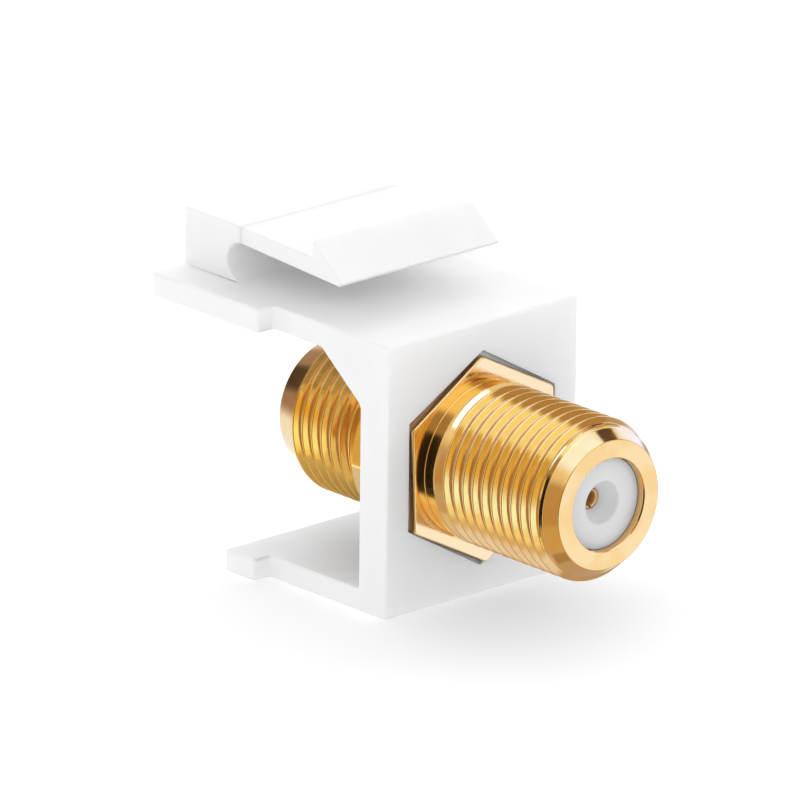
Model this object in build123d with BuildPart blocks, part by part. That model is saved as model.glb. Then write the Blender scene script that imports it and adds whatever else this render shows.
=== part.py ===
from build123d import *
import os

os.makedirs("parts", exist_ok=True)

# Coaxial jack insert: a C-shaped moulded housing with a snap latch on top, and
# a turned double-ended coupler clamped through its front plate.
# Millimetres. +X is the right side seen from the front, -Y is the front,
# +Z is up. The origin is under the middle of the overall box, on the base.

# ---- housing -------------------------------------------------------------
width = 14.5              # front face width
height = 16.2             # front face height
front_t = 2.32            # front plate thickness
top_t = 1.42              # top plate thickness
base_t = 1.28             # base plate thickness
top_step = 9.62           # depth where the top plate widens into its ears
top_end = 18.68           # depth of the rear end of the top plate
base_step = 9.75          # depth where the base plate widens
base_end = 12.27          # depth of the rear end of the base plate
ear = 1.17                # how far each ear stands out at the side
gusset_y = 5.60           # depth where the brace meets the top plate
gusset_z = 12.40          # height where the brace meets the front plate
gusset_t = 1.50           # thickness of each brace
edge_r = 0.20             # moulded edge radius

# ---- latch ---------------------------------------------------------------
latch_w = 12.06           # width of the latch
root_z = 19.64            # top of the latch root
root_flat = 15.4          # depth where the arm starts to slope down
slot_y = 13.80            # depth of the centre of the slot's round end
arm_under = 18.55         # underside of the arm at the slot's end
arm_top_cut = 19.575      # top of the arm above the slot's end
arm_under_tip = 18.08     # underside of the arm at its tip
catch_y = 7.74            # depth of the catch's steep face
catch_low = 19.345        # arm top at the foot of the catch
catch_top = 20.33         # top of the catch
tip_y = 5.22              # depth of the arm's tip

# ---- coupler -------------------------------------------------------------
axis_z = 8.03             # height of the coupler axis
hex_af = 10.72            # hexagon across flats
hex_turn = 2.1            # degrees the hexagon sits turned in its pocket
hex_proud = 0.25          # how far the hexagon stands in front of the face
hex_seat = 1.10           # depth of the hexagon's seat in the front plate
pocket_gap = 0.175        # gap around the hexagon in its pocket
barrel_r = 4.72           # crest radius of the 3/8-32 thread
root_r = 4.28             # root radius of the thread
pitch_r = 4.50            # pitch radius, drawn where the nut is engaged
hole_r = 4.86             # clearance hole in the front plate
front_end = 10.50         # front nose end, in front of the face
front_thread_end = 9.60   # front end of the front thread
front_nose = 9.74         # start of the front nose cone
rear_end = 12.90          # depth of the rear nose end
rear_thread_end = 10.95   # depth of the rear end of the rear thread
rear_nose = 11.35         # start of the rear nose cone
nose_r = 3.79             # outer radius of both end faces
bore_r = 2.72             # bore at both ends
mid_bore_r = 2.20         # bore between the insulators
nut_af = 11.11            # lock nut across flats, 7/16 in
nut_t = 2.30              # lock nut thickness
nut_chamfer_r = 5.62      # radius of the lock nut's chamfered rear face

# ---- inside the coupler ---------------------------------------------------
recess = 0.50             # insulator face behind the nose end
ins_len = 4.6             # insulator length
ins_r = 2.70              # insulator outer radius
funnel_r = 1.22           # mouth of the pin guide
funnel_t = 1.00           # depth of the pin guide
pin_hole_r = 0.62         # hole behind the pin guide
contact_r = 0.80          # contact outer radius
tip_r = 0.59              # contact tip, inside the pin hole
contact_cav_r = 0.83      # contact cavity in the insulators
socket_r = 0.43           # contact socket, relaxed
socket_len = 4.6          # contact socket depth
slit = 0.16               # slit between the two spring fingers

# depth 0 is the front face; this is its place in the row frame
face_y = -(top_end - front_end) / 2


def dy(depth):
    return face_y + depth


side = Plane(origin=(0, 0, 0), x_dir=(0, 1, 0), z_dir=(1, 0, 0))
axis_side = Plane(origin=(0, 0, axis_z), x_dir=(0, 1, 0), z_dir=(1, 0, 0))
coupler_axis = Axis((0, 0, axis_z), (0, 1, 0))


def facing(depth):
    # a sketch plane square to the coupler axis, with local y up
    return Plane(origin=(0, dy(depth), axis_z), x_dir=(1, 0, 0), z_dir=(0, -1, 0))


slot_r = (arm_under - height) / 2
slot_z = (arm_under + height) / 2

# ---- housing: C-shaped shell with the latch root ---------------------------
with BuildPart() as housing:
    with BuildSketch(side):
        with BuildLine():
            Polyline(
                (dy(0), 0),
                (dy(base_end), 0),
                (dy(base_end), base_t),
                (dy(front_t), base_t),
                (dy(front_t), height - top_t),
                (dy(top_end), height - top_t),
                (dy(top_end), height),
                (dy(0), height),
                close=True,
            )
        make_face()
    extrude(amount=width / 2, both=True)
    # a brace at each side, clear of the lock nut, in the upper front corner
    with BuildSketch(
        side.offset(-width / 2), side.offset(width / 2 - gusset_t)
    ):
        with BuildLine():
            Polyline(
                (dy(front_t), gusset_z),
                (dy(gusset_y), height - top_t),
                (dy(front_t), height - top_t),
                close=True,
            )
        make_face()
    extrude(amount=gusset_t)
    # ears on the top plate and on the base plate, behind their steps
    with BuildSketch(Plane.XY.offset(height - top_t)):
        with Locations((0, (dy(top_step) + dy(top_end)) / 2)):
            Rectangle(width + 2 * ear, top_end - top_step)
    extrude(amount=top_t)
    with BuildSketch(Plane.XY):
        with Locations((0, (dy(base_step) + dy(base_end)) / 2)):
            Rectangle(width + 2 * ear, base_end - base_step)
    extrude(amount=base_t)
    # moulded edges along the front and down the sides of the front plate
    fillet(
        housing.edges()
        .filter_by(Axis.Z)
        .filter_by_position(Axis.Y, dy(0) - 0.01, dy(0) + 0.01),
        edge_r,
    )
    # latch root, with the round end of the slot under the arm
    with BuildSketch(side):
        with BuildLine():
            ThreePointArc(
                (dy(slot_y), height),
                (dy(slot_y) + slot_r, slot_z),
                (dy(slot_y), arm_under),
            )
            Polyline(
                (dy(slot_y), arm_under),
                (dy(slot_y), arm_top_cut),
                (dy(root_flat), root_z),
                (dy(top_end), root_z),
                (dy(top_end), height),
                (dy(slot_y), height),
            )
        make_face()
    extrude(amount=latch_w / 2, both=True)
    # hexagonal pocket and the clearance hole behind it
    with BuildSketch(facing(-1)):
        RegularPolygon(hex_af / 2 + pocket_gap, 6, major_radius=False, rotation=30)
    extrude(amount=-(1 + hex_seat), mode=Mode.SUBTRACT)
    with BuildSketch(facing(-1)):
        Circle(hole_r)
    extrude(amount=-(2 + front_t), mode=Mode.SUBTRACT)
housing.part.label = "housing"

# ---- latch arm: the free length of the same moulding -----------------------
with BuildPart() as latch_arm:
    with BuildSketch(side):
        with BuildLine():
            Polyline(
                (dy(slot_y), arm_under),
                (dy(slot_y), arm_top_cut),
                (dy(catch_y), catch_low),
                (dy(catch_y), catch_top),
                (dy(tip_y), 18.33),
                (dy(tip_y + 0.30), arm_under_tip),
                close=True,
            )
        make_face()
    extrude(amount=latch_w / 2, both=True)
    fillet(
        latch_arm.edges()
        .filter_by(Axis.X)
        .filter_by_position(Axis.Y, dy(tip_y) - 0.01, dy(tip_y) + 0.01),
        0.25,
    )
latch_arm.part.label = "latch_arm"

# ---- coupler body: hexagon, both threaded barrels and both noses ------------
with BuildPart() as coupler_body:
    with BuildSketch(facing(-hex_proud)):
        RegularPolygon(hex_af / 2, 6, major_radius=False, rotation=30 + hex_turn)
    extrude(amount=-(hex_proud + hex_seat))
    chamfer(
        coupler_body.faces().sort_by(Axis.Y)[0].edges(),
        0.12,
    )
    with BuildSketch(axis_side):
        with BuildLine():
            Polyline(
                (dy(-front_end), 0),
                (dy(-front_end), nose_r),
                (dy(-front_nose), root_r),
                (dy(-front_thread_end), root_r),
                (dy(-front_thread_end), barrel_r),
                (dy(front_t), barrel_r),
                (dy(front_t), pitch_r),
                (dy(front_t + nut_t), pitch_r),
                (dy(front_t + nut_t), barrel_r),
                (dy(rear_thread_end), barrel_r),
                (dy(rear_thread_end), root_r),
                (dy(rear_nose), root_r),
                (dy(rear_end), nose_r),
                (dy(rear_end), 0),
                close=True,
            )
        make_face()
    revolve(axis=coupler_axis)
    # through bore and the wider insulator seat at each end
    with BuildSketch(facing(-front_end - 1)):
        Circle(mid_bore_r)
    extrude(amount=-(front_end + rear_end + 2), mode=Mode.SUBTRACT)
    with BuildSketch(facing(-front_end)):
        Circle(bore_r)
    extrude(amount=-(recess + ins_len), mode=Mode.SUBTRACT)
    with BuildSketch(facing(rear_end)):
        Circle(bore_r)
    extrude(amount=recess + ins_len, mode=Mode.SUBTRACT)
coupler_body.part.label = "coupler_body"

# ---- lock nut behind the front plate ---------------------------------------
with BuildPart() as lock_nut:
    with BuildSketch(facing(front_t)):
        RegularPolygon(nut_af / 2, 6, major_radius=False, rotation=0)
    extrude(amount=-nut_t)
    # 45 degree chamfer round the rear corners
    with BuildSketch(axis_side):
        with BuildLine():
            Polyline(
                (dy(front_t), pitch_r),
                (dy(front_t), nut_chamfer_r + nut_t),
                (dy(front_t + nut_t), nut_chamfer_r),
                (dy(front_t + nut_t), pitch_r),
                close=True,
            )
        make_face()
    revolve(axis=coupler_axis, mode=Mode.INTERSECT)
lock_nut.part.label = "lock_nut"


# ---- insulators -------------------------------------------------------------
def insulator_points(face, way):
    # half section of an insulator; way is the direction into the coupler
    back = face + way * ins_len
    throat = face + way * funnel_t
    seat = face + way * (funnel_t + 0.45)
    return [
        (dy(face), funnel_r),
        (dy(face), ins_r),
        (dy(back), ins_r),
        (dy(back), contact_cav_r),
        (dy(seat), contact_cav_r),
        (dy(seat), pin_hole_r),
        (dy(throat), pin_hole_r),
    ]


front_face = -front_end + recess
rear_face = rear_end - recess

with BuildPart() as front_insulator:
    with BuildSketch(axis_side):
        with BuildLine():
            Polyline(*insulator_points(front_face, 1), close=True)
        make_face()
    revolve(axis=coupler_axis)
front_insulator.part.label = "front_insulator"

with BuildPart() as rear_insulator:
    with BuildSketch(axis_side):
        with BuildLine():
            Polyline(*insulator_points(rear_face, -1), close=True)
        make_face()
    revolve(axis=coupler_axis)
rear_insulator.part.label = "rear_insulator"

# ---- centre contact: a rod with a slit socket at each end --------------------
# its narrow tips reach through the pin holes to the bottom of the pin guides
shoulder_front = front_face + funnel_t + 0.47
shoulder_rear = rear_face - funnel_t - 0.47
contact_front = front_face + funnel_t + 0.03
contact_rear = rear_face - funnel_t - 0.03
with BuildPart() as center_contact:
    with BuildSketch(facing(shoulder_front)):
        Circle(contact_r)
    extrude(amount=-(shoulder_rear - shoulder_front))
    with BuildSketch(facing(contact_front)):
        Circle(tip_r)
    extrude(amount=-(contact_rear - contact_front))
    with BuildSketch(facing(contact_front)):
        Circle(socket_r)
    extrude(amount=-socket_len, mode=Mode.SUBTRACT)
    with BuildSketch(facing(contact_rear)):
        Circle(socket_r)
    extrude(amount=socket_len, mode=Mode.SUBTRACT)
    with BuildSketch(facing(contact_front)):
        Rectangle(2 * contact_r + 1, slit)
    extrude(amount=-(socket_len - 0.6), mode=Mode.SUBTRACT)
    with BuildSketch(facing(contact_rear)):
        Rectangle(2 * contact_r + 1, slit)
    extrude(amount=socket_len - 0.6, mode=Mode.SUBTRACT)
center_contact.part.label = "center_contact"

export_step(housing.part, "parts/housing.step")
export_step(latch_arm.part, "parts/latch_arm.step")
export_step(coupler_body.part, "parts/coupler_body.step")
export_step(lock_nut.part, "parts/lock_nut.step")
export_step(front_insulator.part, "parts/front_insulator.step")
export_step(rear_insulator.part, "parts/rear_insulator.step")
export_step(center_contact.part, "parts/center_contact.step")
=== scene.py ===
import math

import bmesh
import bpy
import numpy as np
from mathutils import Matrix, Vector


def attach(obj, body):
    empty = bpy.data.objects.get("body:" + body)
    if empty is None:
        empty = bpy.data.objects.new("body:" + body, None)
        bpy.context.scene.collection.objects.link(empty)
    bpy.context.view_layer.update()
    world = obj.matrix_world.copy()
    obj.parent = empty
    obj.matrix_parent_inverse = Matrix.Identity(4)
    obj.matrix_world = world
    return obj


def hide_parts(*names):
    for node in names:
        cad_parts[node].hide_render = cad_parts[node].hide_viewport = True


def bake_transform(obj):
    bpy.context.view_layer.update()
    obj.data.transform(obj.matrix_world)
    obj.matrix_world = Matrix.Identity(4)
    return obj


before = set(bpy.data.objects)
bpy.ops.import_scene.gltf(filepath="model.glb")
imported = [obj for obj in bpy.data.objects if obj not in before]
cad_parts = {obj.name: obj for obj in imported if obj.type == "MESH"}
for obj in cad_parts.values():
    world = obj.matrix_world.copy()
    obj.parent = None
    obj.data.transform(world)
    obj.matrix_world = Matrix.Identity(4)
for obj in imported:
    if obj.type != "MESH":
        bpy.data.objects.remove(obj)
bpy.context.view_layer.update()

scene = bpy.context.scene

# Lengths below are in millimetres. A depth is measured back from the front
# face of the housing, so it is negative in front of it.
MM = 0.001
FACE_Y = -4.09
AXIS_Z = 8.03


def pt(x, depth, z):
    return Vector((x * MM, (depth + FACE_Y) * MM, z * MM))


# ---------------------------------------------------------------- mesh helpers
def add_object(name, bm):
    mesh = bpy.data.meshes.new(name)
    bm.to_mesh(mesh)
    bm.free()
    obj = bpy.data.objects.new(name, mesh)
    scene.collection.objects.link(obj)
    return obj


def bake(obj):
    """Replaces the object's mesh by the result of its modifiers."""
    bpy.context.view_layer.update()
    graph = bpy.context.evaluated_depsgraph_get()
    made = bpy.data.meshes.new_from_object(
        obj.evaluated_get(graph), preserve_all_data_layers=True, depsgraph=graph
    )
    old = obj.data
    obj.modifiers.clear()
    obj.data = made
    bpy.data.meshes.remove(old)
    made.name = obj.name
    return obj


def boolean(obj, other, operation, keep=False):
    mod = obj.modifiers.new("boolean", "BOOLEAN")
    mod.operation = operation
    mod.solver = "EXACT"
    mod.object = other
    bake(obj)
    if not keep:
        bpy.data.objects.remove(other)
    return obj


def prism(name, points, lo, hi, place):
    """A closed prism over a polygon; place(point, height) gives the vertex."""
    bm = bmesh.new()
    a = [bm.verts.new(place(p, lo)) for p in points]
    b = [bm.verts.new(place(p, hi)) for p in points]
    bm.faces.new(a)
    bm.faces.new(list(reversed(b)))
    for i in range(len(points)):
        j = (i + 1) % len(points)
        bm.faces.new((a[i], b[i], b[j], a[j]))
    bmesh.ops.recalc_face_normals(bm, faces=bm.faces)
    return add_object(name, bm)


def across(name, points, lo, hi):
    """Profile of (depth, height) points, extruded across X."""
    return prism(name, points, lo, hi, lambda p, t: pt(t, p[0], p[1]))


def along(name, points, lo, hi):
    """Profile of (x, height) points, extruded along the depth."""
    return prism(name, points, lo, hi, lambda p, t: pt(p[0], t, p[1]))


def box(name, x0, x1, d0, d1, z0, z1):
    return across(name, [(d0, z0), (d1, z0), (d1, z1), (d0, z1)], x0, x1)


def smooth(obj, angle=35.0):
    """Smooth shading that follows the large faces, so a flat stays flat beside its bevels."""
    mesh = obj.data
    mesh.polygons.foreach_set("use_smooth", [True] * len(mesh.polygons))
    mesh.set_sharp_from_angle(angle=math.radians(angle))
    n_loops, n_faces, n_edges = len(mesh.loops), len(mesh.polygons), len(mesh.edges)

    def read(items, key, size, kind=np.int32):
        data = np.zeros(size, kind)
        items.foreach_get(key, data)
        return data

    vert = read(mesh.loops, "vertex_index", n_loops)
    edge = read(mesh.loops, "edge_index", n_loops)
    start = read(mesh.polygons, "loop_start", n_faces)
    total = read(mesh.polygons, "loop_total", n_faces)
    area = read(mesh.polygons, "area", n_faces, np.float32).astype(float) * 1e6
    normal = read(mesh.polygons, "normal", n_faces * 3, np.float32).astype(float).reshape(-1, 3)
    sharp = read(mesh.edges, "use_edge_sharp", n_edges, bool)
    face = np.repeat(np.arange(n_faces), total)
    after = np.arange(n_loops) + 1
    last = start + total - 1
    after[last] = start
    # the two sides of each smooth edge
    order = np.argsort(edge, kind="stable")
    ids, first, count = np.unique(edge[order], return_index=True, return_counts=True)
    pair = (count == 2) & ~sharp[ids]
    one, two = order[first[pair]], order[first[pair] + 1]
    ends = []
    for v in (vert[one], vert[after[one]]):
        ca = np.where(vert[one] == v, one, after[one])
        cb = np.where(vert[two] == v, two, after[two])
        ends.append((ca, cb))
    ca, cb = (np.concatenate(c) for c in zip(*ends))
    group = np.arange(n_loops)
    while True:
        low = np.minimum(group[ca], group[cb])
        new = group.copy()
        np.minimum.at(new, ca, low)
        np.minimum.at(new, cb, low)
        if (new == group).all():
            break
        group = new
    weighed = normal[face] * (area[face] ** 2 + 1e-12)[:, None]
    total_normal = np.zeros((n_loops, 3))
    np.add.at(total_normal, group, weighed)
    custom = total_normal[group]
    length = np.linalg.norm(custom, axis=1, keepdims=True)
    custom = np.where(length > 1e-20, custom / np.maximum(length, 1e-20), normal[face])
    mesh.normals_split_custom_set([tuple(c) for c in custom.tolist()])
    return obj


# ------------------------------------------------------------------ lathe work
RING = 264


def angles(start_deg, n=RING):
    return math.radians(start_deg) + np.arange(n) * 2 * math.pi / n


def hex_radius(theta, flats, corner_deg, cap=0.05):
    """Outline radius of a hexagon with a corner at corner_deg, its corners a little rounded."""
    step = math.pi / 3
    d = np.mod(theta - math.radians(corner_deg), step) - step / 2
    r = flats / 2 / np.cos(d)
    return np.minimum(r, flats / 2 / math.cos(step / 2) - cap)


class Lathe:
    """A surface of rings round the coupler axis. A ring's radius and depth may change with the angle."""

    def __init__(self, start_deg=0.0, n=RING):
        self.n = n
        self.start = math.radians(start_deg)
        self.theta = angles(start_deg, n)
        self.verts = []
        self.faces = []
        self.last = None
        self.first = None
        self.count = 0

    def _put(self, r, d):
        r = np.broadcast_to(np.asarray(r, float), self.theta.shape)
        d = np.broadcast_to(np.asarray(d, float), self.theta.shape)
        x = r * np.sin(self.theta)
        z = AXIS_Z + r * np.cos(self.theta)
        self.verts += [pt(*p) for p in zip(x, d, z)]
        base = self.count
        self.count += self.n
        return base

    def _join(self, a, b):
        n = self.n
        for j in range(n):
            k = (j + 1) % n
            self.faces.append((a + j, b + j, b + k, a + k))

    def ring(self, r, d):
        base = self._put(r, d)
        if self.last is not None:
            self._join(self.last, base)
        if self.first is None:
            self.first = base
        self.last = base
        return self

    def rings(self, pairs):
        for r, d in pairs:
            self.ring(r, d)
        return self

    def helix(self, lo, hi, radius, offsets, pitch, origin):
        """Rows that follow the thread from depth lo to hi, clamped at both ends."""
        turns = range(
            math.floor((lo - origin) / pitch) - 2, math.ceil((hi - origin) / pitch) + 2
        )
        bases = []
        for k in turns:
            for o in offsets:
                d = origin + pitch * (self.theta / (2 * math.pi) + k) + o
                d = np.clip(d, lo, hi)
                bases.append(self._put(radius(self.theta, d), d))
        m = len(offsets)
        if self.last is not None:
            self._join(self.last, bases[0])
        if self.first is None:
            self.first = bases[0]
        for i in range(len(bases) - 1):
            a, b = bases[i], bases[i + 1]
            for j in range(self.n - 1):
                self.faces.append((a + j, b + j, b + j + 1, a + j + 1))
            if i + 1 + m < len(bases):
                j = self.n - 1
                self.faces.append((a + j, b + j, bases[i + 1 + m], bases[i + m]))
        self.last = bases[-1]
        return self

    def build(self, name, closed=True):
        if closed:
            self._join(self.last, self.first)
        mesh = bpy.data.meshes.new(name)
        mesh.from_pydata([tuple(v) for v in self.verts], [], self.faces)
        bm = bmesh.new()
        bm.from_mesh(mesh)
        bpy.data.meshes.remove(mesh)
        bmesh.ops.remove_doubles(bm, verts=bm.verts, dist=4e-7)
        bmesh.ops.dissolve_degenerate(bm, edges=bm.edges, dist=4e-7)
        loose = [v for v in bm.verts if not v.link_faces]
        bmesh.ops.delete(bm, geom=loose, context="VERTS")
        bmesh.ops.recalc_face_normals(bm, faces=bm.faces)
        return add_object(name, bm)


# --------------------------------------------------------------------- housing
WIDTH, HEIGHT = 14.5, 16.2
FRONT_T, TOP_T, BASE_T = 2.32, 1.42, 1.28
TOP_STEP, TOP_END = 9.62, 18.68
BASE_STEP, BASE_END = 9.75, 12.27
EAR = 1.17
LATCH_W = 12.06
ROOT_Z, ROOT_FLAT = 19.64, 15.4
SLOT_Y, ARM_UNDER, ARM_TOP_CUT = 13.80, 18.55, 19.575
CATCH_Y, CATCH_LOW, CATCH_TOP, TIP_Y = 7.74, 19.345, 20.33, 5.22
HEX_AF, HEX_TURN, HEX_PROUD, HEX_SEAT = 10.72, 2.1, 0.25, 1.10
POCKET_GAP, POCKET_UP, HOLE_R = 0.155, 0.05, 4.86

half = WIDTH / 2
moulding = across(
    "moulding",
    [
        (0, 0),
        (BASE_END, 0),
        (BASE_END, BASE_T),
        (FRONT_T, BASE_T),
        (FRONT_T, HEIGHT - TOP_T),
        (TOP_END, HEIGHT - TOP_T),
        (TOP_END, HEIGHT),
        (0, HEIGHT),
    ],
    -half,
    half,
)
boolean(
    moulding,
    box("ears", -half - EAR, half + EAR, TOP_STEP, TOP_END, HEIGHT - TOP_T, HEIGHT),
    "UNION",
)
boolean(
    moulding,
    box("feet", -half - EAR, half + EAR, BASE_STEP, BASE_END, 0, BASE_T),
    "UNION",
)
for side in (-1, 1):
    brace = across(
        "brace",
        [(FRONT_T - 0.4, 12.40 - 0.56), (5.60 + 0.6, HEIGHT - TOP_T + 0.43), (FRONT_T - 0.4, HEIGHT - 0.8)],
        side * half,
        side * (half - 1.5),
    )
    boolean(moulding, brace, "UNION")

# the latch: root, slot with a round end, arm and catch
slot_r = (ARM_UNDER - HEIGHT) / 2
slot_z = (ARM_UNDER + HEIGHT) / 2
arc = [
    (SLOT_Y + slot_r * math.cos(a), slot_z + slot_r * math.sin(a))
    for a in np.radians(np.linspace(-90, 90, 17))
]
latch_profile = (
    [(SLOT_Y, HEIGHT - 0.6), (TOP_END, HEIGHT - 0.6), (TOP_END, ROOT_Z), (ROOT_FLAT, ROOT_Z), (SLOT_Y, ARM_TOP_CUT)]
    + [(CATCH_Y, CATCH_LOW), (CATCH_Y, CATCH_TOP), (TIP_Y, 18.33), (TIP_Y + 0.10, 18.20), (TIP_Y + 0.30, 18.08)]
    + list(reversed(arc))
)
boolean(moulding, across("latch", latch_profile, -LATCH_W / 2, LATCH_W / 2), "UNION")

corner = np.radians(90 + 60 * np.arange(6))
pocket_r = (HEX_AF / 2 + POCKET_GAP) / math.cos(math.pi / 6)
pocket = [
    (pocket_r * math.cos(a), AXIS_Z + POCKET_UP + pocket_r * math.sin(a)) for a in corner
]
boolean(moulding, along("pocket", pocket, -1, 0.34), "DIFFERENCE")
snug_r = (HEX_AF / 2 + 0.03) / math.cos(math.pi / 6)
snug = [
    (snug_r * math.cos(a), AXIS_Z + snug_r * math.sin(a)) for a in corner + math.radians(HEX_TURN)
]
boolean(moulding, along("pocket", snug, 0.2, HEX_SEAT), "DIFFERENCE")
hole = [
    (HOLE_R * math.cos(a), AXIS_Z + HOLE_R * math.sin(a))
    for a in np.radians(np.arange(0, 360, 3.75))
]
boolean(moulding, along("hole", hole, -1, FRONT_T + 1), "DIFFERENCE")

bm = bmesh.new()
bm.from_mesh(moulding.data)
bmesh.ops.remove_doubles(bm, verts=bm.verts, dist=2e-7)
bmesh.ops.dissolve_limit(
    bm, angle_limit=math.radians(0.6), verts=bm.verts, edges=bm.edges
)
weight = bm.edges.layers.float.new("bevel_weight_edge")
for e in bm.edges:
    if len(e.link_faces) != 2 or e.calc_face_angle(0) < math.radians(20):
        continue
    a, b = (v.co / MM for v in e.verts)
    mid = (a + b) / 2
    depth = mid.y - FACE_Y
    rad = math.hypot(mid.x, mid.z - AXIS_Z)
    w = 1.0
    if depth < FRONT_T + 0.1 and rad < 6.6 and abs(mid.x) < 6.4:
        w = 0.3 if depth < 0.05 else 0.0
    elif mid.z > HEIGHT + 0.05:
        w = 0.75
    elif abs(abs(mid.x) - LATCH_W / 2) < 0.01 and mid.z > HEIGHT - 0.05:
        w = 0.0
    elif abs(depth - SLOT_Y) < 0.02 or abs(mid.z - HEIGHT) < 0.02 and abs(mid.x) < LATCH_W / 2 - 0.1 and depth > 1:
        w = 0.0
    if not e.is_convex and w == 1.0:
        w = 0.8
    e[weight] = w
bm.to_mesh(moulding.data)
bm.free()
bevel = moulding.modifiers.new("edges", "BEVEL")
bevel.limit_method = "WEIGHT"
bevel.width = 0.18 * MM
bevel.segments = 3
bevel.use_clamp_overlap = False
bevel.miter_outer = "MITER_ARC"
bake(moulding)

# the free arm flexes, so it is a piece of its own; both meet at the slot's end
arm = moulding.copy()
arm.data = moulding.data.copy()
arm.name = arm.data.name = "latch_arm_moulded"
scene.collection.objects.link(arm)
cutter = box("cutter", -8, 8, 3, SLOT_Y, 17.0, 22)
boolean(arm, cutter, "INTERSECT", keep=True)
boolean(moulding, cutter, "DIFFERENCE")
moulding.name = moulding.data.name = "housing_moulded"

bm = bmesh.new()
bm.from_mesh(arm.data)
for d in np.linspace(5.7, 13.5, 20):
    bmesh.ops.bisect_plane(
        bm,
        geom=bm.verts[:] + bm.edges[:] + bm.faces[:],
        plane_co=pt(0, float(d), 0),
        plane_no=(0, 1, 0),
        dist=1e-8,
    )
bm.to_mesh(arm.data)
bm.free()

for obj in (moulding, arm):
    bm = bmesh.new()
    bm.from_mesh(obj.data)
    bmesh.ops.remove_doubles(bm, verts=bm.verts, dist=1e-7)
    bmesh.ops.dissolve_degenerate(bm, edges=bm.edges, dist=1e-7)
    bm.to_mesh(obj.data)
    bm.free()
    smooth(obj, 38)

# --------------------------------------------------------------- coupler body
PITCH = 25.4 / 32
CREST_R, ROOT_R = 4.72, 4.413
THREAD_AT = -2.74 + PITCH / 4
PROFILE_O = [0.0, 0.020, 0.045, 0.072, 0.237, 0.268, 0.300, PITCH / 2]
PROFILE_R = [4.72, 4.72, 4.713, 4.688, 4.438, 4.419, ROOT_R, ROOT_R]
OFFSETS = [-0.300, -0.268, -0.237, -0.072, -0.045, -0.020, 0.020, 0.045, 0.072, 0.237, 0.268, 0.300, PITCH / 2]


def thread_radius(theta, d):
    u = np.mod((d - THREAD_AT) / PITCH - theta / (2 * math.pi) + 0.5, 1.0) - 0.5
    return np.interp(np.abs(u) * PITCH, PROFILE_O, PROFILE_R)


def front_radius(theta, d):
    # the groove runs out towards the hexagon
    run_out = np.interp(d, [-2.06, -1.22], [ROOT_R, CREST_R])
    lead = np.interp(d, [-9.46, -9.34], [4.37, CREST_R])
    return np.minimum(np.maximum(thread_radius(theta, d), run_out), lead)


def rear_radius(theta, d):
    lead = np.interp(d, [10.80, 10.87], [CREST_R, 4.45])
    return np.minimum(thread_radius(theta, d), lead)


lathe = Lathe(start_deg=-HEX_TURN)
six = hex_radius(lathe.theta, HEX_AF, -HEX_TURN)
lathe.rings(
    [
        (2.765, -10.50),
        (3.75, -10.50),
        (3.78, -10.488),
        (3.81, -10.46),
        (4.275, -9.80),
        (4.31, -9.75),
        (4.31, -9.70),
        (4.28, -9.665),
        (4.22, -9.62),
        (4.22, -9.60),
        (4.34, -9.48),
    ]
)
lathe.helix(-9.46, -1.12, front_radius, OFFSETS, PITCH, THREAD_AT)
lathe.rings([(4.70, -1.09), (4.585, -1.02), (4.58, -1.0), (4.58, -0.29), (4.60, -0.26), (4.62, -0.25)])
lathe.rings(
    [
        (six - 0.10, -HEX_PROUD),
        (six - 0.045, -HEX_PROUD + 0.02),
        (six, -HEX_PROUD + 0.08),
        (six, HEX_SEAT - 0.05),
        (six - 0.05, HEX_SEAT - 0.01),
        (4.72, HEX_SEAT - 0.01),
        (4.72, FRONT_T - 0.05),
        (4.47, FRONT_T + 0.05),
        (4.47, 4.60),
    ]
)
lathe.helix(4.64, 10.87, rear_radius, OFFSETS, PITCH, THREAD_AT)
lathe.rings(
    [
        (4.22, 10.92),
        (4.22, 11.03),
        (4.28, 11.035),
        (4.285, 11.05),
        (4.28, 11.36),
        (3.81, 12.84),
        (3.78, 12.885),
        (3.75, 12.90),
        (2.77, 12.90),
        (2.705, 12.84),
        (2.705, 12.36),
        (2.72, 12.20),
        (2.72, 7.80),
        (2.20, 7.80),
        (2.20, -5.40),
        (2.72, -5.40),
        (2.72, -9.80),
        (2.705, -9.96),
        (2.705, -10.44),
    ]
)
coupler = smooth(lathe.build("coupler_turned"), 38)

# -------------------------------------------------------------------- lock nut
NUT_AF, NUT_T = 11.11, 2.30
lathe = Lathe(start_deg=30)
six = hex_radius(lathe.theta, NUT_AF, 30)
rear = FRONT_T + NUT_T
chamfer_r = 5.62
lathe.rings(
    [
        (4.60, FRONT_T + 0.01),
        (six - 0.10, FRONT_T + 0.01),
        (six, FRONT_T + 0.11),
        (six, rear - np.maximum(six - chamfer_r, 0.03)),
        (np.minimum(six, chamfer_r) - 0.03, rear),
        (4.80, rear),
        (4.52, rear - 0.28),
        (4.52, FRONT_T + 0.10),
    ]
)
nut = smooth(lathe.build("lock_nut_turned"), 30)


# ------------------------------------------------------------------ insulators
def insulator(name, face, way):
    def at(t):
        return face + way * t

    lathe = Lathe(n=128)
    lathe.rings(
        [
            (2.67, at(0.0)),
            (2.69, at(0.006)),
            (2.70, at(0.02)),
            (2.70, at(4.56)),
            (2.66, at(4.60)),
            (0.83, at(4.60)),
            (0.83, at(1.45)),
            (0.62, at(1.45)),
            (0.62, at(1.06)),
            (0.635, at(1.00)),
            (0.67, at(0.93)),
            (0.74, at(0.82)),
            (1.08, at(0.34)),
            (1.17, at(0.18)),
            (1.23, at(0.07)),
            (1.31, at(0.015)),
            (1.40, at(0.0)),
        ]
    )
    return smooth(lathe.build(name), 40)


front_plug = insulator("front_insulator_moulded", -10.0, 1)
rear_plug = insulator("rear_insulator_moulded", 12.4, -1)

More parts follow.
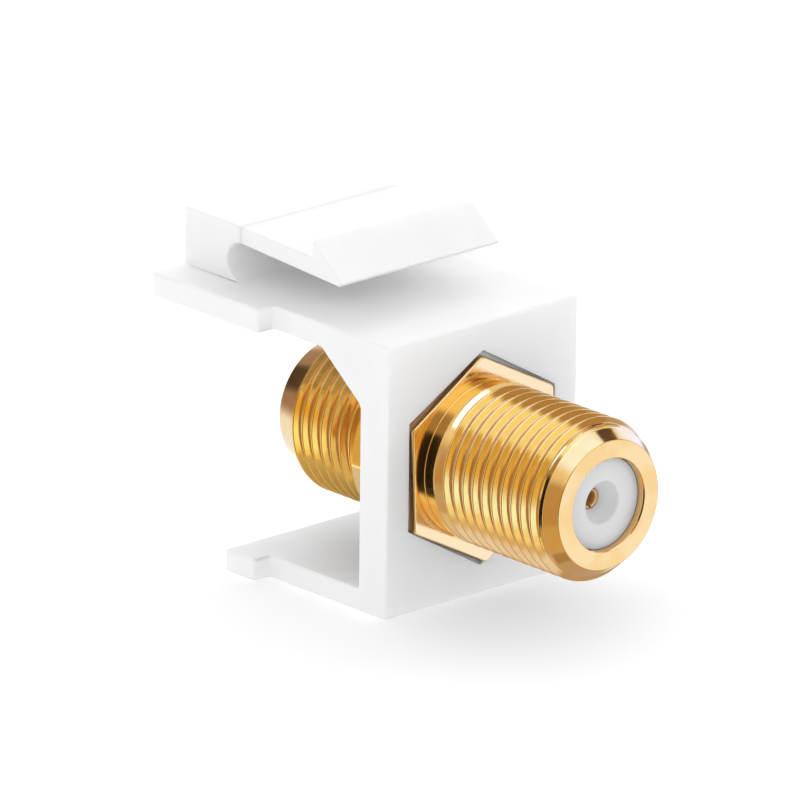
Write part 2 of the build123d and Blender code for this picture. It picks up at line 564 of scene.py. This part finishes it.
# --------------------------------------------------------------------- contact
lathe = Lathe(n=96)
lathe.rings(
    [
        (0.0, -4.37),
        (0.42, -4.37),
        (0.43, -4.42),
        (0.43, -8.84),
        (0.45, -8.92),
        (0.50, -8.965),
        (0.53, -8.97),
        (0.57, -8.95),
        (0.59, -8.91),
        (0.59, -8.53),
        (0.76, -8.53),
        (0.80, -8.49),
        (0.80, 10.89),
        (0.76, 10.93),
        (0.59, 10.93),
        (0.59, 11.31),
        (0.57, 11.35),
        (0.53, 11.37),
        (0.50, 11.365),
        (0.45, 11.32),
        (0.43, 11.24),
        (0.43, 6.82),
        (0.42, 6.77),
        (0.0, 6.77),
    ]
)
contact = lathe.build("center_contact_turned", closed=False)
for lo, hi in ((-9.2, -4.97), (7.37, 11.6)):
    boolean(
        contact,
        box("slit", -0.08, 0.08, lo, hi, AXIS_Z - 1.2, AXIS_Z + 1.2),
        "DIFFERENCE",
    )
smooth(contact, 35)


# ------------------------------------------------------------------- materials
class Nodes:
    """Short calls for building a node tree."""

    def __init__(self, tree):
        self.tree = tree
        tree.nodes.clear()

    def add(self, kind, **inputs):
        node = self.tree.nodes.new(kind)
        for key, value in inputs.items():
            if hasattr(node, key) and key not in node.inputs:
                setattr(node, key, value)
            else:
                self.set(node, key.replace("_", " "), value)
        return node

    def set(self, node, name, value):
        socket = node.inputs[name]
        if isinstance(value, bpy.types.NodeSocket):
            self.tree.links.new(value, socket)
        else:
            socket.default_value = value

    def math(self, op, a, b=0.0, c=0.0, clamp=False):
        node = self.tree.nodes.new("ShaderNodeMath")
        node.operation = op
        node.use_clamp = clamp
        for i, v in enumerate((a, b, c)):
            if isinstance(v, bpy.types.NodeSocket):
                self.tree.links.new(v, node.inputs[i])
            else:
                node.inputs[i].default_value = v
        return node.outputs[0]

    def vector(self, op, a, b=(0, 0, 0), scale=None):
        node = self.tree.nodes.new("ShaderNodeVectorMath")
        node.operation = op
        for i, v in enumerate((a, b)):
            if isinstance(v, bpy.types.NodeSocket):
                self.tree.links.new(v, node.inputs[i])
            else:
                node.inputs[i].default_value = v
        if scale is not None:
            node.inputs["Scale"].default_value = scale
        return node.outputs["Value"] if op in ("DOT_PRODUCT", "LENGTH") else node.outputs[0]

    def remap(self, value, a, b, c=0.0, d=1.0, kind="SMOOTHSTEP"):
        node = self.tree.nodes.new("ShaderNodeMapRange")
        node.interpolation_type = kind
        self.tree.links.new(value, node.inputs["Value"])
        for key, v in (("From Min", a), ("From Max", b), ("To Min", c), ("To Max", d)):
            node.inputs[key].default_value = v
        return node.outputs["Result"]

    def mix(self, factor, a, b):
        node = self.tree.nodes.new("ShaderNodeMix")
        node.data_type = "RGBA"
        for key, v in ((0, factor), (6, a), (7, b)):
            if isinstance(v, bpy.types.NodeSocket):
                self.tree.links.new(v, node.inputs[key])
            elif key:
                node.inputs[key].default_value = (*v, 1.0) if len(v) == 3 else v
            else:
                node.inputs[key].default_value = v
        return node.outputs[2]

    def noise(self, vector, scale, detail=3.0, rough=0.5):
        node = self.tree.nodes.new("ShaderNodeTexNoise")
        self.tree.links.new(vector, node.inputs["Vector"])
        node.inputs["Scale"].default_value = scale
        node.inputs["Detail"].default_value = detail
        node.inputs["Roughness"].default_value = rough
        return node.outputs["Fac"]

    def millimetres(self):
        coord = self.tree.nodes.new("ShaderNodeTexCoord")
        return self.vector("SCALE", coord.outputs["Object"], scale=1000.0)

    def bump(self, height, strength, distance):
        node = self.tree.nodes.new("ShaderNodeBump")
        self.tree.links.new(height, node.inputs["Height"])
        node.inputs["Strength"].default_value = strength
        node.inputs["Distance"].default_value = distance
        return node.outputs["Normal"]


def start_material(name):
    mat = bpy.data.materials.new(name)
    mat.use_nodes = True
    nodes = Nodes(mat.node_tree)
    shader = mat.node_tree.nodes.new("ShaderNodeBsdfPrincipled")
    out = mat.node_tree.nodes.new("ShaderNodeOutputMaterial")
    mat.node_tree.links.new(shader.outputs[0], out.inputs[0])
    return mat, nodes, shader


def plastic(name, light, dark, rough, grain=0.15, glow=0.35):
    mat, n, shader = start_material(name)
    n.set(shader, "Subsurface Weight", glow)
    n.set(shader, "Subsurface Radius", (1.0, 1.0, 1.0))
    n.set(shader, "Subsurface Scale", 0.0005)
    mm = n.millimetres()
    cloud = n.noise(mm, 0.35, 4.0)
    fine = n.noise(mm, 9.0, 3.0)
    n.set(shader, "Base Color", n.mix(n.remap(cloud, 0.35, 0.65), dark, light))
    n.set(shader, "Roughness", n.remap(cloud, 0.3, 0.7, rough - 0.05, rough + 0.05))
    n.set(shader, "Normal", n.bump(fine, grain, 0.00001))
    return mat


# the flats colour is a painted sheen for the end faces
def gold(name, base, deep, flats, rear, rough, lathe_marks):
    """Polished plate over turned brass. The tool marks run round the coupler axis."""
    mat, n, shader = start_material(name)
    mm = n.millimetres()
    centred = n.vector("SUBTRACT", mm, (0.0, 0.0, AXIS_Z))
    split = n.tree.nodes.new("ShaderNodeSeparateXYZ")
    n.tree.links.new(centred, split.inputs[0])
    radius = n.math(
        "SQRT",
        n.math(
            "ADD",
            n.math("MULTIPLY", split.outputs[0], split.outputs[0]),
            n.math("MULTIPLY", split.outputs[2], split.outputs[2]),
        ),
    )
    join = n.tree.nodes.new("ShaderNodeCombineXYZ")
    n.tree.links.new(radius, join.inputs[0])
    n.tree.links.new(split.outputs[1], join.inputs[1])
    rings = n.noise(join.outputs[0], 16.0, 4.0, 0.6)
    cloud = n.noise(mm, 0.9, 4.0, 0.6)
    tone = n.mix(n.remap(cloud, 0.35, 0.68), base, deep)
    # painted sheen: the end faces are painted paler than the barrels, standing in for their brighter, whiter
    # reflections; the plating is the same all over
    facing = n.tree.nodes.new("ShaderNodeSeparateXYZ")
    surface = n.tree.nodes.new("ShaderNodeTexCoord")
    n.tree.links.new(surface.outputs["Normal"], facing.inputs[0])
    painted_sheen_mask = n.remap(n.math("ABSOLUTE", facing.outputs[1]), 0.93, 0.985)
    # and the barrel behind the plate is painted a deeper gold, a painted reflection tone in place of the shaded plastic
    # it mirrors
    behind = n.math(
        "MULTIPLY", n.remap(split.outputs[1], 0.3, 0.6), n.remap(split.outputs[1], 6.85, 6.95, 1.0, 0.0)
    )
    tone = n.mix(behind, tone, rear)
    # so are the sides of the hexagon, where the plate shades them
    seated = n.math(
        "MULTIPLY", n.remap(split.outputs[1], -4.27, -4.24), n.remap(split.outputs[1], -2.9, -2.8, 1.0, 0.0)
    )
    tone = n.mix(seated, tone, (0.86, 0.46, 0.20))
    # painted shade: the roots of the threads are painted darker, and the bores are painted a deeper gold, a painted
    # reflection tone in place of the shade they mirror
    threaded = n.math(
        "ADD",
        behind,
        n.math(
            "MULTIPLY", n.remap(split.outputs[1], -13.50, -13.45), n.remap(split.outputs[1], -5.7, -5.4, 1.0, 0.0)
        ),
    )
    painted_root_shade = n.math("MULTIPLY", threaded, n.remap(radius, 4.414, 4.432, 1.0, 0.0))
    tone = n.mix(painted_root_shade, tone, (0.62, 0.35, 0.15))
    tone = n.mix(n.remap(radius, 2.75, 2.80, 1.0, 0.0), tone, (1.0, 0.60, 0.25))
    # the painted sheen on the end faces, varied at random in broad patches
    broad = n.noise(mm, 0.42, 2.0, 0.5)
    mottled_sheen = n.mix(n.remap(broad, 0.40, 0.60), flats, (flats[0] * 0.97, flats[1] * 0.90, flats[2] * 0.76))
    # painted highlight: the hexagon's face and the nut's faces are painted paler still, without the patchy variation
    mottled_sheen = n.mix(n.remap(radius, 4.7, 4.8), mottled_sheen, (0.99, 0.80, 0.54))
    n.set(shader, "Base Color", n.mix(painted_sheen_mask, tone, mottled_sheen))
    n.set(shader, "Metallic", 1.0)
    n.set(
        shader,
        "Roughness",
        n.math("ADD", n.remap(rings, 0.3, 0.7, rough - 0.03, rough + 0.04), n.remap(cloud, 0.3, 0.7, -0.02, 0.03)),
    )
    n.set(shader, "Normal", n.bump(rings, lathe_marks, 0.00001))
    return mat


white = plastic("white_plastic", (0.905, 0.905, 0.902), (0.888, 0.889, 0.889), 0.36)
dull = plastic("insulator_plastic", (0.70, 0.70, 0.70), (0.66, 0.665, 0.67), 0.45, glow=0.0)
# its rear colour is a painted reflection tone for the barrel behind the plate
plate = gold("gold_plate", (0.995, 0.67, 0.285), (0.97, 0.62, 0.24), (0.985, 0.75, 0.42), (1.0, 0.575, 0.13), 0.09, 0.16)
plate_nut = gold("gold_plate_nut", (0.995, 0.67, 0.285), (0.97, 0.62, 0.24), (0.985, 0.75, 0.42), (0.99, 0.62, 0.24), 0.11, 0.12)
spring = gold("contact_gold", (0.74, 0.47, 0.21), (0.64, 0.40, 0.17), (0.78, 0.50, 0.23), (0.74, 0.47, 0.21), 0.42, 0.1)
for node in spring.node_tree.nodes:
    if node.type == "BSDF_PRINCIPLED":
        node.inputs["Metallic"].default_value = 0.6



def finish_piece(obj, mat, node, body="insert"):
    obj.data.materials.clear()
    obj.data.materials.append(mat)
    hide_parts(node)
    if body:
        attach(obj, body)


finish_piece(moulding, white, "housing")
finish_piece(coupler, plate, "coupler_body")
finish_piece(nut, plate_nut, "lock_nut")
finish_piece(front_plug, dull, "front_insulator")
finish_piece(rear_plug, dull, "rear_insulator")
finish_piece(contact, spring, "center_contact")
finish_piece(arm, white, "latch_arm", body=None)
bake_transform(arm)

# ----------------------------------------------------------------------- stage
floor_mesh = bmesh.new()
bmesh.ops.create_grid(floor_mesh, x_segments=1, y_segments=1, size=3.0)
floor = add_object("floor", floor_mesh)
floor.location = (0, 0, -0.00002)
mat, n, shader = start_material("floor_paper")
n.set(shader, "Base Color", (0.75, 0.75, 0.75, 1))
n.set(shader, "Emission Color", (1.0, 1.0, 1.0, 1.0))
n.set(shader, "Emission Strength", 0.338)
n.set(shader, "Roughness", 1.0)
n.set(shader, "Specular IOR Level", 0.0)
floor.data.materials.append(mat)
floor.visible_glossy = False

# the light: an even pale studio all round, and the shapes that the metal mirrors
world = bpy.data.worlds.new("studio")
scene.world = world
world.use_nodes = True
n = Nodes(world.node_tree)
coord = n.tree.nodes.new("ShaderNodeTexCoord")
way = coord.outputs["Generated"]
split = n.tree.nodes.new("ShaderNodeSeparateXYZ")
n.tree.links.new(way, split.inputs[0])


def toward(x, y, z):
    v = Vector((x, y, z)).normalized()
    return n.vector("DOT_PRODUCT", way, tuple(v))


def patch(under, colour, direction, inner, outer):
    """A round soft-edged patch of light, inner and outer in degrees from its middle."""
    mask = n.remap(toward(*direction), math.cos(math.radians(outer)), math.cos(math.radians(inner)))
    return n.mix(mask, under, colour)


def grey(v):
    return (v, v, v)


def ring_of_light(total, strengths, elevation):
    """Adds soft round lights at one height, the first toward +X and then turning toward +Y."""
    el = math.radians(elevation)
    for k, strength in enumerate(strengths):
        az = 2 * math.pi * k / len(strengths)
        dot = toward(math.cos(el) * math.cos(az), math.cos(el) * math.sin(az), math.sin(el))
        total = n.math("MULTIPLY_ADD", n.remap(dot, math.cos(math.radians(46)), 1.0), strength, total)
    return total


# what lights the plastic and the floor
soft = ring_of_light(0.0, (1.07, 1.38, 1.25, 0.46, 0.36, 0.62, 0.76, 1.00), 14)
soft = ring_of_light(soft, (0.64, 0.55, 0.36, 0.62, 0.38, 0.13), 48)

# what the metal mirrors: dim at the sides and behind, brighter cards in front and above
up = split.outputs[2]
mirror = n.mix(n.remap(toward(-0.80, 0.55, -0.10), -0.3, 0.7), (0.50, 0.42, 0.38), (0.56, 0.46, 0.37))
mirror = patch(mirror, (0.92, 1.05, 1.35), (0.0, 0.80, -0.58), 18, 34)
mirror = patch(mirror, (0.34, 0.25, 0.24), (-0.06, 0.97, 0.24), 20, 32)
mirror = patch(mirror, (0.07, 0.05, 0.04), (-0.04, 0.98, 0.17), 6, 13)
mirror = patch(mirror, (0.51, 0.35, 0.18), (-0.92, -0.36, -0.10), 28, 38)
mirror = patch(mirror, (0.62, 0.46, 0.24), (-0.60, -0.24, -0.76), 14, 26)
mirror = patch(mirror, (0.40, 0.29, 0.18), (-0.18, -0.06, -0.98), 5, 11)
mirror = n.mix(n.remap(up, 0.34, 0.62), mirror, (0.88, 0.84, 0.66))
mirror = patch(mirror, (1.00, 1.33, 2.10), (0.0, -0.33, 0.94), 18, 44)
for way_to in ((-0.47, 0.12, 0.87), (-0.12, 0.15, 0.98), (0.24, 0.21, 0.94)):
    mirror = patch(mirror, (1.40, 1.90, 3.60), way_to, 8, 14)
# the barrels and thread crests mirror a ring behind the object
crest = n.mix(n.remap(up, -0.30, 0.12), (1.00, 1.20, 1.15), (0.76, 0.60, 0.25))
crest = n.mix(n.remap(up, 0.15, 0.50), crest, (0.64, 0.47, 0.14))
crest = n.mix(n.remap(up, 0.60, 0.68), crest, (0.95, 0.95, 0.62))
crest = n.mix(n.remap(up, -0.66, -0.45), (0.72, 0.58, 0.40), crest)
behind = n.math("MULTIPLY", n.remap(split.outputs[1], 0.54, 0.62), n.remap(split.outputs[1], 0.78, 0.86, 1.0, 0.0))
mirror = n.mix(behind, mirror, crest)
mirror = patch(mirror, (0.95, 0.97, 1.00), (0.64, 0.70, 0.32), 10, 20)
mirror = patch(mirror, (0.82, 0.86, 1.12), (0.03, -0.50, -0.86), 8, 18)
# the front, from below upward: a pale card, a deep gold band, a bright card
front = n.mix(n.remap(up, -0.30, 0.02), (1.00, 1.28, 1.38), (0.75, 0.57, 0.17))
front = n.mix(n.remap(up, 0.05, 0.40), front, (0.62, 0.44, 0.10))
front = n.mix(n.remap(up, 0.42, 0.45), front, (0.97, 0.98, 0.58))
front = n.mix(n.remap(up, -0.58, -0.46), (0.95, 0.93, 0.62), front)
front = n.mix(n.remap(up, -0.74, -0.62), (0.73, 0.61, 0.38), front)
mirror = n.mix(n.remap(toward(0.12, -0.99, 0.0), 0.55, 0.66), mirror, front)
mirror = patch(mirror, grey(1.0), (0.64, -0.70, -0.32), 14, 26)
mirror = patch(mirror, (0.95, 1.25, 2.40), (0.95, 0.24, 0.22), 14, 26)
mirror = patch(mirror, (0.42, 0.28, 0.13), (0.68, -0.52, 0.50), 12, 19)
mirror = patch(mirror, (0.11, 0.075, 0.07), (0.68, -0.05, 0.73), 10, 14)
# the near left side is dark
mirror = patch(mirror, (0.36, 0.30, 0.20), (-0.43, -0.70, 0.57), 8, 18)
for way_to, size in (
    ((-0.66, -0.69, 0.26), 8),
    ((-0.71, -0.70, 0.04), 8),
    ((-0.69, -0.70, -0.20), 8),
    ((-0.59, -0.70, -0.40), 6),
    ((-0.50, -0.69, -0.53), 5),
):
    mirror = patch(mirror, grey(0.015), way_to, size, size * 1.8)

path = n.tree.nodes.new("ShaderNodeLightPath")
card = n.tree.nodes.new("ShaderNodeCombineXYZ")
for i in range(3):
    n.tree.links.new(soft, card.inputs[i])
colour = n.mix(path.outputs["Is Glossy Ray"], card.outputs[0], mirror)
colour = n.mix(path.outputs["Is Camera Ray"], colour, grey(1.05))
back = n.tree.nodes.new("ShaderNodeBackground")
n.tree.links.new(colour, back.inputs["Color"])
out = n.tree.nodes.new("ShaderNodeOutputWorld")
n.tree.links.new(back.outputs[0], out.inputs[0])

scene.view_settings.view_transform = "Standard"
scene.cycles.caustics_reflective = False
scene.cycles.caustics_refractive = False
scene.cycles.blur_glossy = 0.0

# ---------------------------------------------------------------------- camera
az, el, roll = map(math.radians, (42.307, 18.824, 0.632))
behind = Vector(
    (-math.sin(az) * math.cos(el), -math.cos(az) * math.cos(el), math.sin(el))
)
right = (-behind).cross(Vector((0, 0, 1))).normalized()
upward = right.cross(-behind)
right2 = math.cos(roll) * right + math.sin(roll) * upward
up2 = -math.sin(roll) * right + math.cos(roll) * upward
target = Vector((-1.392, 5.382 - 4.09, 10.42)) * MM
eye = target + behind * 0.90212
lens = bpy.data.cameras.new("camera")
lens.sensor_width = 36.0
lens.lens = 719.01
lens.clip_start = 0.05
lens.clip_end = 20.0
camera = bpy.data.objects.new("camera", lens)
scene.collection.objects.link(camera)
camera.matrix_world = Matrix(
    (
        (right2.x, up2.x, behind.x, eye.x),
        (right2.y, up2.y, behind.y, eye.y),
        (right2.z, up2.z, behind.z, eye.z),
        (0, 0, 0, 1),
    )
)
scene.camera = camera
